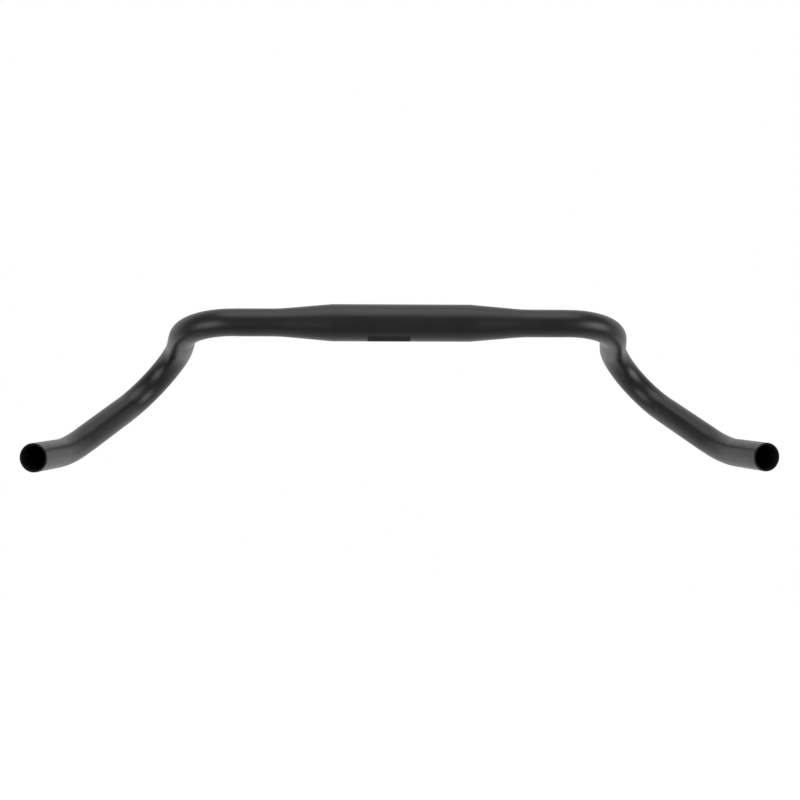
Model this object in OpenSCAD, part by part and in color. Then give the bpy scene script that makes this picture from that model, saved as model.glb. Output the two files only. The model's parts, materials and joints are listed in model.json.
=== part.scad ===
// Gravel drop handlebar: one aluminium tube, thick in the middle, with flared drops.
// +X is the rider's right, +Y is forward and +Z is up. The origin is the middle of the
// clamp zone. Sizes are in millimetres and angles in degrees.
// Each side is bent from the middle outward: top bend, ramp, hook, drop and open end.
// The left side is the mirror image of the right side.

/* [Clamp zone] */
// outer diameter that the stem holds
clamp_d = 31.8; // [28:0.1:35]
// length of the parallel zone that the stem holds
clamp_len = 118; // [80:1:130]
// wall of the tube inside the clamp zone
clamp_wall = 2.4; // [2:0.1:3.2]
// length of each cone from the clamp zone down to the tube
taper_len = 45; // [30:1:50]

/* [Tube] */
// outer diameter of the tube from the tapers to the open ends
tube_d = 23.8; // [22.2:0.1:25.4]
// wall of the tube from the tapers to the open ends
tube_wall = 1.9; // [1.5:0.1:2.5]
// chamfer on the inner and outer edge of each open end
end_chamfer = 0.4; // [0.2:0.1:0.6]

/* [Tops and ramps] */
// distance from the middle to the start of each top bend
tops_half = 143; // [130:1:190]
// centreline radius of each top bend
top_bend_r = 48; // [40:1:70]
// heading of the ramp in degrees, turned outward from straight forward
ramp_out_deg = 11; // [0:1:20]
// slope of the ramp in degrees below level
ramp_down_deg = 17; // [5:1:25]
// straight length of the ramp
ramp_len = 24; // [10:1:60]

/* [Hooks] */
// centreline radius of each hook
hook_r = 44; // [38:1:70]

/* [Drops] */
// heading of the drop in degrees, turned outward from straight forward
drop_out_deg = 148; // [135:1:165]
// slope of the drop in degrees below level
drop_down_deg = 26; // [15:1:40]
// straight length of the drop
drop_len = 61; // [40:1:90]
// centreline radius of the bend between the drop and the open end
end_bend_r = 75; // [50:1:120]
// heading of the open end in degrees, turned outward from straight forward
end_out_deg = 167.5; // [155:0.5:175]
// slope of the open end in degrees below level
end_down_deg = 2; // [0:1:10]
// straight length of the open end
end_len = 49; // [40:1:80]

/* [Hidden] */
$fn = 96;
blend = 8; // half length of the smooth join between a taper and the tube
blend_steps = 10;
tube_r = tube_d / 2;
bore_r = tube_r - tube_wall;
clamp_r = clamp_d / 2;
clamp_bore_r = clamp_r - clamp_wall;
past = 5; // how far the bore runs beyond the open end when it is cut
bend_slim = 0.1; // bending draws the tube in by this much in radius
ease = 2; // a straight run narrows to meet a bend over this length
lap = 1; // how far a bend runs on inside the straight run at each of its ends

// A heading as a unit vector: out is turned from forward toward the right.
function heading(out, down) = [sin(out) * cos(down), cos(out) * cos(down), -sin(down)];

// A frame is three unit vectors, and its third one points along the tube.
// The turn and the roll take the tube in frame f to the heading v.
function turn_to(v, f) = acos(v * f[2]);
function roll_to(v, f) = atan2(v * f[1], v * f[0]);

// The frame after a bend of angle a in the plane at roll b.
function bent(f, a, b) = let (side = cos(b) * f[0] + sin(b) * f[1])
    [cos(a) * side - sin(a) * f[2], cos(b) * f[1] - sin(b) * f[0],
     sin(a) * side + cos(a) * f[2]];

ramp_v = heading(ramp_out_deg, ramp_down_deg);
drop_v = heading(drop_out_deg, drop_down_deg);
end_v = heading(end_out_deg, end_down_deg);

tops_f = [[0, 1, 0], [0, 0, 1], [1, 0, 0]];
top_turn = turn_to(ramp_v, tops_f);
top_roll = roll_to(ramp_v, tops_f);
ramp_f = bent(tops_f, top_turn, top_roll);
hook_turn = turn_to(drop_v, ramp_f);
hook_roll = roll_to(drop_v, ramp_f);
drop_f = bent(ramp_f, hook_turn, hook_roll);
end_turn = turn_to(end_v, drop_f);
end_roll = roll_to(end_v, drop_f);

taper_end = clamp_len / 2 + taper_len;

// Half outline of the middle, as points of distance along and radius.
// A straight cone leaves the clamp zone and a short curve joins it to the tube.
function middle_line(big, small) = let (slope = (big - small) / taper_len)
    [[clamp_len / 2, big],
     for (i = [0 : blend_steps]) let (t = i / blend_steps)
        [taper_end - blend + 2 * blend * t, small + slope * blend * (1 - t) * (1 - t)]];

// Where a straight run of radius r narrows to meet a bend that begins at distance d.
// It goes on a little way inside the bend.
function run_end(r, d) = [[d - ease, r], [d + ease, r - 2 * bend_slim]];

// The middle of the bar as a solid: clamp zone, both tapers and both tops.
module middle(big, small) {
    right = middle_line(big, small);
    n = len(right);
    left = [for (i = [n - 1 : -1 : 0]) [-right[i][0], right[i][1]]];
    ends = run_end(small, tops_half);
    outline = concat([[-ends[1][0], 0], [-ends[1][0], ends[1][1]]],
        [[-ends[0][0], small]], left, right, ends, [[ends[1][0], 0]]);
    rotate([0, 90, 0])
    rotate_extrude()
    polygon([for (p = outline) [p[1], p[0]]]);
}

// A straight run of radius r along +Z between two bends, with what follows as children.
module straight(r, length) {
    tip = r - 2 * bend_slim;
    rotate_extrude()
    polygon([[0, -ease], [tip, -ease], [r, ease],
        for (p = run_end(r, length)) [p[1], p[0]], [0, length + ease]]);
    translate([0, 0, length])
    children();
}

// A bend of radius bend_r that turns the run by angle a in the plane at roll b.
module bend(r, bend_r, a, b = 0) {
    over = lap / bend_r * 180 / PI;
    rotate([0, 0, b]) {
        translate([bend_r, 0, 0])
        rotate([90, 0, 180])
        rotate([0, 0, -over])
        rotate_extrude(angle = a + 2 * over)
        translate([bend_r, 0])
        circle(r = r - bend_slim);
        translate([bend_r, 0, 0])
        rotate([0, a, 0])
        translate([-bend_r, 0, 0])
        children();
    }
}

// One side from the top bend to the start of the open end, as a solid of radius r.
// The children are put where the last straight run begins.
module side_run(r) {
    multmatrix([[0, 0, 1, tops_half], [1, 0, 0, 0], [0, 1, 0, 0], [0, 0, 0, 1]])
    bend(r, top_bend_r, top_turn, top_roll)
    straight(r, ramp_len)
    bend(r, hook_r, hook_turn, hook_roll)
    straight(r, drop_len)
    bend(r, end_bend_r, end_turn, end_roll)
    children();
}

// Outside of one side, down to the chamfered edge of its open end.
module side_outside() {
    side_run(tube_r)
    rotate_extrude()
    polygon([[0, -ease], [tube_r - 2 * bend_slim, -ease], [tube_r, ease],
        [tube_r, end_len - end_chamfer], [tube_r - end_chamfer, end_len], [0, end_len]]);
}

// Bore of one side, which opens with a chamfer and runs on past the end.
module side_bore() {
    side_run(bore_r)
    rotate_extrude()
    polygon([[0, -ease], [bore_r - 2 * bend_slim, -ease], [bore_r, ease],
        [bore_r, end_len - end_chamfer], [bore_r + end_chamfer + past, end_len + past],
        [0, end_len + past]]);
}

// The whole bar: one bent tube that is open at both ends.
module handlebar() {
    color([0.09, 0.09, 0.1])
    difference() {
        union() {
            middle(clamp_r, tube_r);
            side_outside();
            mirror([1, 0, 0])
            side_outside();
        }
        union() {
            middle(clamp_bore_r, bore_r);
            side_bore();
            mirror([1, 0, 0])
            side_bore();
        }
    }
}

handlebar();
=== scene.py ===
import json
import math

import bpy
from mathutils import Matrix, Vector


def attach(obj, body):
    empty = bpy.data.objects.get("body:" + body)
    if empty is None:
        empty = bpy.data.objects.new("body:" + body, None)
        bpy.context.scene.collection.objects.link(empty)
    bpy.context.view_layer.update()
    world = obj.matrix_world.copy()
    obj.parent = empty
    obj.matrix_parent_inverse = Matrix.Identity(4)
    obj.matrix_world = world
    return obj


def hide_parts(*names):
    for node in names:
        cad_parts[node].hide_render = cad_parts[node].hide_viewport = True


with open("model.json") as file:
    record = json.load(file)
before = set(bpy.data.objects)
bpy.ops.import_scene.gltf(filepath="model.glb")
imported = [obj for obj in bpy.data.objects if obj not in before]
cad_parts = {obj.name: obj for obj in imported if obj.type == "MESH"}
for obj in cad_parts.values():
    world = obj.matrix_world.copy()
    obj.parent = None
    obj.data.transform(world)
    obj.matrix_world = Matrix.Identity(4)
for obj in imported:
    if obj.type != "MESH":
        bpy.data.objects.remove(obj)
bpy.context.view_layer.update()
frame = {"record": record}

# Sizes of the bar in metres, with those of its mounts read from the frame
MM = 0.001
mounts = {mount["name"]: mount["dims"] for mount in frame["record"]["mounts"]}
CLAMP_R = mounts["stem_clamp"]["r_mm"] * MM
CLAMP_HALF = mounts["stem_clamp"]["length_mm"] / 2 * MM
TUBE_R = mounts["right_bar_end"]["r_mm"] * MM
CLAMP_WALL = 2.4 * MM
TUBE_WALL = 1.9 * MM
TAPER_LEN = 45 * MM
TAPER_END = CLAMP_HALF + TAPER_LEN
BLEND = 8 * MM          # half the length of the rounding where a taper meets the tube
LIP = 0.4 * MM          # chamfer at the mouths
BEND_SLIM = 0.1 * MM    # a bend is drawn in by this much on the radius
EASE = 2 * MM           # length over which a bend is drawn in

# Middle line of the right half, from the middle of the bar outward: bends and straights in turn
TOPS_HALF = 143 * MM
TOP_BEND_R = 48 * MM
RAMP_LEN = 24 * MM
HOOK_R = 44 * MM
DROP_LEN = 61 * MM
END_BEND_R = 75 * MM
END_LEN = 49 * MM
RAMP_WAY = (11, 17)     # degrees outward from straight ahead, and degrees down
DROP_WAY = (148, 26)
END_WAY = (167.5, 2)

# Fineness of the mesh
ROUND = 96              # points round the tube
BEND_STEP = 2 * MM
TUBE_STEP = 3.5 * MM
TAPER_STEP = 1 * MM
LEAST_STEPS = 2         # on any straight
LEAST_BEND_STEPS = 6
SHARP = 25              # degrees between faces that meet in a crisp edge


def way(out_and_down):
    """Direction from its two angles."""
    out, down = (math.radians(angle) for angle in out_and_down)
    return Vector((math.sin(out) * math.cos(down), math.cos(out) * math.cos(down), -math.sin(down)))


def add_straight(line, length, step):
    """Stations of a straight, after the line's last one."""
    place, heading, gone = line[-1]
    count = max(LEAST_STEPS, math.ceil(length / step))
    for i in range(1, count + 1):
        run = length * i / count
        line.append((place + heading * run, heading.copy(), gone + run))


def add_bend(line, radius, new_heading, step):
    """Stations of a round bend that turns the line to its new heading."""
    place, heading, gone = line[-1]
    angle = heading.angle(new_heading)
    side = (new_heading - heading * heading.dot(new_heading)).normalized()
    count = max(LEAST_BEND_STEPS, math.ceil(radius * angle / step))
    for i in range(1, count + 1):
        turned = angle * i / count
        arm = side * (1 - math.cos(turned)) + heading * math.sin(turned)
        now = heading * math.cos(turned) + side * math.sin(turned)
        line.append((place + arm * radius, now.normalized(), gone + radius * turned))


def right_half():
    """Stations (place, direction, distance from the middle) and the stretches that are bent."""
    line = [(Vector((0, 0, 0)), Vector((1, 0, 0)), 0.0)]
    add_straight(line, CLAMP_HALF - BLEND, TUBE_STEP)
    add_straight(line, BLEND + TAPER_LEN + BLEND, TAPER_STEP)
    add_straight(line, TOPS_HALF - TAPER_END - BLEND, TUBE_STEP)
    bent = []
    for radius, heading, length in (
        (TOP_BEND_R, way(RAMP_WAY), RAMP_LEN),
        (HOOK_R, way(DROP_WAY), DROP_LEN),
        (END_BEND_R, way(END_WAY), END_LEN),
    ):
        start = line[-1][2]
        add_bend(line, radius, heading, BEND_STEP)
        bent.append((start, line[-1][2]))
        add_straight(line, length, TUBE_STEP)
    return line, bent


def whole_line():
    """Both halves as one line, from the left mouth to the right one."""
    right, bent = right_half()
    left = [
        (Vector((-place.x, place.y, place.z)), Vector((heading.x, -heading.y, -heading.z)), -gone)
        for place, heading, gone in reversed(right[1:])
    ]
    return left + right, bent


def radius_at(gone, clamp_r, tube_r, bent):
    """Radius of the outside or of the bore, by the distance from the middle."""
    gone = abs(gone)
    slope = (clamp_r - tube_r) / TAPER_LEN
    if gone <= CLAMP_HALF:
        return clamp_r
    if gone <= TAPER_END - BLEND:
        return clamp_r - slope * (gone - CLAMP_HALF)
    if gone <= TAPER_END + BLEND:
        left_over = (TAPER_END + BLEND - gone) / (2 * BLEND)
        return tube_r + slope * BLEND * left_over ** 2
    radius = tube_r
    for start, end in bent:
        drawn = min(1.0, (gone - start + EASE) / EASE, (end + EASE - gone) / EASE)
        if drawn > 0:       # eased at both ends of its way from 0 to 1
            radius -= BEND_SLIM * drawn * drawn * (3 - 2 * drawn)
    return radius


def carried_sides(line):
    """Two directions across each station, carried along the line without twist from its middle."""
    middle = len(line) // 2
    sides = [None] * len(line)
    for order in (range(middle, len(line)), range(middle, -1, -1)):
        side = Vector((0, 0, 1))
        last = line[middle][1]
        for i in order:
            heading = line[i][1]
            side = last.rotation_difference(heading) @ side
            side = (side - heading * side.dot(heading)).normalized()
            sides[i] = (side, heading.cross(side))
            last = heading
    return sides


class Skin:
    """Collects rings of points, and the faces between one ring and the next."""

    def __init__(self, line, sides):
        self.line = line
        self.sides = sides
        self.points = []
        self.faces = []
        self.corners = []
        self.materials = []

    def ring(self, station, radius, shift=0.0):
        """A ring at a station, moved along by shift: gives its first point and its distance."""
        place, heading, gone = self.line[station]
        side, other = self.sides[station]
        first = len(self.points)
        for k in range(ROUND):
            turn = 2 * math.pi * k / ROUND
            spoke = side * math.cos(turn) + other * math.sin(turn)
            self.points.append(place + heading * shift + spoke * radius)
        return first, gone + shift

    def band(self, ring_a, ring_b, material):
        """Faces from one ring to the next, with the turn and the distance as their UV."""
        (a, gone_a), (b, gone_b) = ring_a, ring_b
        for k in range(ROUND):
            after = (k + 1) % ROUND
            self.faces.append((a + k, a + after, b + after, b + k))
            low, high = k / ROUND, (k + 1) / ROUND
            self.corners.append(((low, gone_a), (high, gone_a), (high, gone_b), (low, gone_b)))
            self.materials.append(material)

    def mesh(self, name):
        mesh = bpy.data.meshes.new(name)
        mesh.from_pydata([tuple(point) for point in self.points], [], self.faces)
        along = mesh.uv_layers.new(name="along")
        for face, corners, material in zip(mesh.polygons, self.corners, self.materials):
            face.material_index = material
            face.use_smooth = True
            for loop, corner in zip(face.loop_indices, corners):
                along.data[loop].uv = corner
        mesh.set_sharp_from_angle(angle=math.radians(SHARP))
        return mesh


def make_tube():
    """The bar: outside skin, rims and bore skin as one closed mesh."""
    line, bent = whole_line()
    skin = Skin(line, carried_sides(line))
    last = len(line) - 1
    outside, inside = 0, 1      # the mesh's two material slots
    bore_r = TUBE_R - TUBE_WALL
    clamp_bore_r = CLAMP_R - CLAMP_WALL

    outer = [skin.ring(0, TUBE_R - LIP), skin.ring(0, TUBE_R, LIP)]
    inner = [skin.ring(0, bore_r + LIP), skin.ring(0, bore_r, LIP)]
    for i in range(1, last):
        gone = line[i][2]
        outer.append(skin.ring(i, radius_at(gone, CLAMP_R, TUBE_R, bent)))
        inner.append(skin.ring(i, radius_at(gone, clamp_bore_r, bore_r, bent)))
    outer += [skin.ring(last, TUBE_R, -LIP), skin.ring(last, TUBE_R - LIP)]
    inner += [skin.ring(last, bore_r, -LIP), skin.ring(last, bore_r + LIP)]

    for ring_a, ring_b in zip(outer, outer[1:]):
        skin.band(ring_a, ring_b, outside)
    for ring_a, ring_b in zip(inner, inner[1:]):
        skin.band(ring_b, ring_a, inside)
    skin.band(inner[0], outer[0], inside)
    skin.band(outer[-1], inner[-1], inside)

    tube = bpy.data.objects.new("handlebar_tube", skin.mesh("handlebar_tube"))
    bpy.context.scene.collection.objects.link(tube)
    return tube


# Materials
MIX_COLOURS = (6, 7)            # a Mix node's own two sockets for colours
MIX_NUMBERS = (2, 3)            # and its two for numbers


class Nodes:
    """Short calls for a material's nodes: each new one takes its links and values by name."""

    def __init__(self, name):
        self.material = bpy.data.materials.new(name)
        self.material.use_nodes = True
        self.tree = self.material.node_tree
        self.shader = self.tree.nodes["Principled BSDF"]

    def put(self, node, socket, value):
        if isinstance(value, bpy.types.NodeSocket):
            self.tree.links.new(value, node.inputs[socket])
        else:
            node.inputs[socket].default_value = value

    def add(self, kind, sockets=(), **settings):
        node = self.tree.nodes.new(kind)
        for key, value in settings.items():
            setattr(node, key, value)
        for socket, value in sockets:
            self.put(node, socket, value)
        return node

    def noise(self, place, scale, detail):
        sockets = [("Vector", place), ("Scale", scale), ("Detail", detail)]
        return self.add("ShaderNodeTexNoise", sockets).outputs["Fac"]

    def calc(self, operation, *values):
        return self.add("ShaderNodeMath", enumerate(values), operation=operation).outputs[0]

    def spread(self, value, low, high, new_low, new_high):
        """The value from low to high becomes new_low to new_high, and stops there."""
        ends = [("From Min", low), ("From Max", high), ("To Min", new_low), ("To Max", new_high)]
        return self.add("ShaderNodeMapRange", [("Value", value)] + ends).outputs["Result"]

    def within(self, value, middle, half, soft):
        """1 where the value is within half of the middle, fading to 0 over soft to each side."""
        away = self.calc("ABSOLUTE", self.calc("SUBTRACT", value, middle))
        return self.spread(away, half - soft, half + soft, 1.0, 0.0)

    def colours(self, factor, first, second):
        sockets = [(0, factor), *zip(MIX_COLOURS, (first, second))]
        return self.add("ShaderNodeMix", sockets, data_type="RGBA").outputs[2]

    def numbers(self, factor, first, second):
        sockets = [(0, factor), *zip(MIX_NUMBERS, (first, second))]
        return self.add("ShaderNodeMix", sockets, data_type="FLOAT").outputs[0]

    def stretched(self, across, along):
        """The UV with its turn and its distance in metres scaled on their own."""
        place = self.add("ShaderNodeTexCoord").outputs["UV"]
        sockets = [("Vector", place), ("Scale", (across, along, 1.0))]
        return self.add("ShaderNodeMapping", sockets).outputs[0]

    def bump(self, height, strength, distance, under=None):
        sockets = [("Height", height), ("Strength", strength), ("Distance", distance)]
        if under is not None:
            sockets.append(("Normal", under))
        return self.add("ShaderNodeBump", sockets).outputs["Normal"]

    def shade(self, **sockets):
        for socket, value in sockets.items():
            self.put(self.shader, socket.replace("_", " "), value)


def grey(value, blue=1.0):
    """A grey, with its blue made stronger by a factor."""
    return (value, value, value * blue, 1.0)


# Black finish of the outside, with noise scales in cells a metre
DYE_DARK = grey(0.0055, 1.08)
DYE_LIGHT = grey(0.0090, 1.03)
CLOUD_SCALE = 38.0
CLOUD_ENDS = (0.3, 0.7)         # the clouds' noise lies mostly between these
CLOUD_ROUGHNESS = 0.03          # added where the dye is light, and taken away where it is dark
STREAKS = (90.0, 9.0)           # streak cells once round the tube, and in a metre along it
SMOOTH = 0.34                   # roughness from streak to streak, from this
ROUGH = 0.42                    # to this
SPECULAR = 0.5
GRAIN_SCALE = 3600.0
GRAIN_STRENGTH = 0.35
GRAIN_DEPTH = 0.03 * MM
WAVE_SCALE = 60.0
WAVE_STRENGTH = 0.25
WAVE_DEPTH = 0.2 * MM

# Dull patch under the clamp zone, a little left of the middle
PATCH_MIDDLE = -11 * MM
PATCH_HALF = 18 * MM
PATCH_TURN = math.radians(42)   # to each side of the lowest line
PATCH_SOFT = 0.6 * MM           # to each side of an edge, along the tube
PATCH_SOFT_TURN = 0.12          # and round it, in radians
PATCH_COLOUR = grey(0.0020, 1.1)
PATCH_ROUGHNESS = 0.95

# Finish of the bore and the rims
BORE_DARK = grey(0.0050, 1.1)
BORE_LIGHT = grey(0.0090, 1.05)
BORE_LINES = (60.0, 14.0)       # line cells once round the bore, and in a metre along it
BORE_SMOOTH = 0.5
BORE_ROUGH = 0.62
BORE_SPECULAR = 0.07
BORE_BUMP = 0.3
BORE_DEPTH = 0.05 * MM


def black_anodised():
    """Blasted and anodised black, with a dull darker patch under the clamp zone."""
    n = Nodes("black_anodised_blasted")
    place = n.add("ShaderNodeTexCoord").outputs["Object"]
    cloud = n.noise(place, CLOUD_SCALE, detail=4.0)
    streak = n.noise(n.stretched(*STREAKS), scale=1.0, detail=3.0)

    split = n.add("ShaderNodeSeparateXYZ", [(0, place)])
    turn = n.calc("ARCTAN2", split.outputs["Y"], n.calc("MULTIPLY", split.outputs["Z"], -1.0))
    patch_along = n.within(split.outputs["X"], PATCH_MIDDLE, PATCH_HALF, PATCH_SOFT)
    patch_round = n.within(turn, 0.0, PATCH_TURN, PATCH_SOFT_TURN)
    patch = n.calc("MULTIPLY", patch_along, patch_round)

    dye = n.colours(cloud, DYE_DARK, DYE_LIGHT)
    streaked = n.numbers(streak, SMOOTH, ROUGH)
    clouded = n.spread(cloud, *CLOUD_ENDS, -CLOUD_ROUGHNESS, CLOUD_ROUGHNESS)
    grain = n.bump(n.noise(place, GRAIN_SCALE, detail=2.0), GRAIN_STRENGTH, GRAIN_DEPTH)
    waves = n.bump(n.noise(place, WAVE_SCALE, detail=2.0), WAVE_STRENGTH, WAVE_DEPTH, grain)
    n.shade(
        Base_Color=n.colours(patch, dye, PATCH_COLOUR),
        Roughness=n.numbers(patch, n.calc("ADD", streaked, clouded), PATCH_ROUGHNESS),
        Specular_IOR_Level=SPECULAR,
        Normal=waves,
    )
    return n.material


def black_bore():
    """Inside of the tube and its rims: darker, with faint lines left by drawing."""
    n = Nodes("black_anodised_bore")
    lines = n.noise(n.stretched(*BORE_LINES), scale=1.0, detail=5.0)
    n.shade(
        Base_Color=n.colours(lines, BORE_DARK, BORE_LIGHT),
        Roughness=n.spread(lines, 0.0, 1.0, BORE_SMOOTH, BORE_ROUGH),
        Specular_IOR_Level=BORE_SPECULAR,
        Normal=n.bump(lines, BORE_BUMP, BORE_DEPTH),
    )
    return n.material


tube = make_tube()
tube.data.materials.append(black_anodised())
tube.data.materials.append(black_bore())
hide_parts("handlebar")
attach(tube, "root")

# Camera: behind the bar, level, a little to its left and below it
CAMERA_YAW = math.radians(2.8)      # turned to the right of straight forward
CAMERA_ROLL = math.radians(0.06)
BAR_SEEN_AT = Vector((1.3, 65.8, -1164.8)) * MM     # the bar's middle, in the camera's own axes
SENSOR = 36.0                       # width in millimetres
LENS = 61.34                        # focal length in millimetres


def make_camera():
    data = bpy.data.cameras.new("camera")
    data.sensor_width = SENSOR
    data.lens = LENS
    camera = bpy.data.objects.new("camera", data)
    bpy.context.scene.collection.objects.link(camera)
    level = Matrix.Rotation(math.radians(90), 3, "X")
    turn = Matrix.Rotation(-CAMERA_YAW, 3, "Z") @ level @ Matrix.Rotation(CAMERA_ROLL, 3, "Z")
    camera.matrix_world = Matrix.Translation(-(turn @ BAR_SEEN_AT)) @ turn.to_4x4()
    bpy.context.scene.camera = camera


# Studio: a white floor and surroundings, one wide lamp above and one at each side of the camera
FLOOR_Z = -0.62
FLOOR_R = 1.6
FLOOR_BACK = 1.3        # the floor's middle lies this far behind the bar, as the camera sees it
FLOOR_SIDES = 96
FLOOR_GREY = 0.8
FLOOR_ROUGHNESS = 0.9
FLOOR_SPECULAR = 0.1
LIFT = (0.9, 1.7, 0.5, 0.8)         # glow: 0.5 up to 0.9 m from the bar, and 0.8 from 1.7 m on
MIRRORED = (-0.1, 0.4, 0.0, 1.0)    # share of it in reflections: 0 up to Y -0.1 m, 1 from 0.4 m on
BAR_MIDDLE = Vector((0, 0, -0.05))  # the lamps face this point

# Each lamp: name, way from the bar, distance, width and height in metres, and watts
LAMPS = (
    ("lamp_above", (0, -0.33, 0.94), 1.5, 1.5, 1.4, 11.5),
    ("lamp_left", (-0.70, -0.70, -0.17), 2.5, 1.7, 1.6, 22),
    ("lamp_right", (0.83, -0.54, -0.06), 2.5, 1.7, 1.6, 29),
)

# Surroundings: their strength as a light, and how they look in reflections, where the
# forward part of the direction counts: dark (0.22) up to 0.0 and white (1.0) from 0.4 on
SURROUNDINGS = 0.4
DARK_TO_WHITE = (0.0, 0.4, 0.22, 1.0)


def make_floor():
    """A round pale floor that looks white from its edge inward, and keeps the shadow at its middle."""
    turns = [2 * math.pi * k / FLOOR_SIDES for k in range(FLOOR_SIDES)]
    rim = [(FLOOR_R * math.cos(turn), FLOOR_BACK + FLOOR_R * math.sin(turn), FLOOR_Z) for turn in turns]
    mesh = bpy.data.meshes.new("floor")
    mesh.from_pydata(rim, [], [range(FLOOR_SIDES)])
    floor = bpy.data.objects.new("floor", mesh)
    bpy.context.scene.collection.objects.link(floor)

    n = Nodes("floor_pale")
    rays = n.add("ShaderNodeLightPath").outputs
    place = n.add("ShaderNodeTexCoord").outputs["Object"]
    split = n.add("ShaderNodeSeparateXYZ", [(0, place)]).outputs
    from_bar = n.add("ShaderNodeVectorMath", [(0, place)], operation="LENGTH").outputs["Value"]
    lift = n.spread(from_bar, *LIFT)
    behind_bar = n.spread(split["Y"], *MIRRORED)
    seen = n.calc("MAXIMUM", rays["Is Camera Ray"], rays["Is Transmission Ray"])
    seen_or_mirrored = n.calc("MAXIMUM", seen, n.calc("MULTIPLY", rays["Is Glossy Ray"], behind_bar))
    n.shade(
        Base_Color=grey(FLOOR_GREY),
        Roughness=FLOOR_ROUGHNESS,
        Specular_IOR_Level=FLOOR_SPECULAR,
        Emission_Color=grey(1.0),
        Emission_Strength=n.calc("MULTIPLY", seen_or_mirrored, lift),
    )
    mesh.materials.append(n.material)


def make_world():
    """White to the camera, white to reflections only behind the bar, and dimmer as a light."""
    world = bpy.data.worlds.new("studio")
    bpy.context.scene.world = world
    world.use_nodes = True
    tree = world.node_tree

    def add(kind, **settings):
        node = tree.nodes.new(kind)
        for key, value in settings.items():
            setattr(node, key, value)
        return node

    def background(strength):
        node = add("ShaderNodeBackground")
        node.inputs["Color"].default_value = grey(1.0)
        node.inputs["Strength"].default_value = strength
        return node

    def choose(factor, first, second):
        node = add("ShaderNodeMixShader")
        tree.links.new(factor, node.inputs[0])
        tree.links.new(first, node.inputs[1])
        tree.links.new(second, node.inputs[2])
        return node.outputs[0]

    rays = add("ShaderNodeLightPath").outputs
    split = add("ShaderNodeSeparateXYZ")
    tree.links.new(add("ShaderNodeTexCoord").outputs["Generated"], split.inputs[0])
    room = add("ShaderNodeMapRange")
    for socket, value in zip(("From Min", "From Max", "To Min", "To Max"), DARK_TO_WHITE):
        room.inputs[socket].default_value = value
    tree.links.new(split.outputs["Y"], room.inputs["Value"])
    reflected = background(1.0)
    tree.links.new(room.outputs["Result"], reflected.inputs["Strength"])

    seen = add("ShaderNodeMath", operation="MAXIMUM")
    tree.links.new(rays["Is Camera Ray"], seen.inputs[0])
    tree.links.new(rays["Is Transmission Ray"], seen.inputs[1])
    light = choose(rays["Is Glossy Ray"], background(SURROUNDINGS).outputs[0], reflected.outputs[0])
    surface = choose(seen.outputs[0], light, background(1.0).outputs[0])
    tree.links.new(surface, tree.nodes["World Output"].inputs["Surface"])


def make_lamp(name, towards, distance, width, height, watts):
    """A rectangular lamp that lies that way from the bar and faces it."""
    data = bpy.data.lights.new(name, "AREA")
    data.shape = "RECTANGLE"
    data.size = width
    data.size_y = height
    data.energy = watts
    lamp = bpy.data.objects.new(name, data)
    bpy.context.scene.collection.objects.link(lamp)
    offset = Vector(towards).normalized() * distance
    lamp.location = BAR_MIDDLE + offset
    lamp.rotation_euler = (-offset).to_track_quat("-Z", "Y").to_euler()


make_camera()
make_floor()
make_world()
for lamp in LAMPS:
    make_lamp(*lamp)
bpy.context.scene.view_settings.view_transform = "Standard"
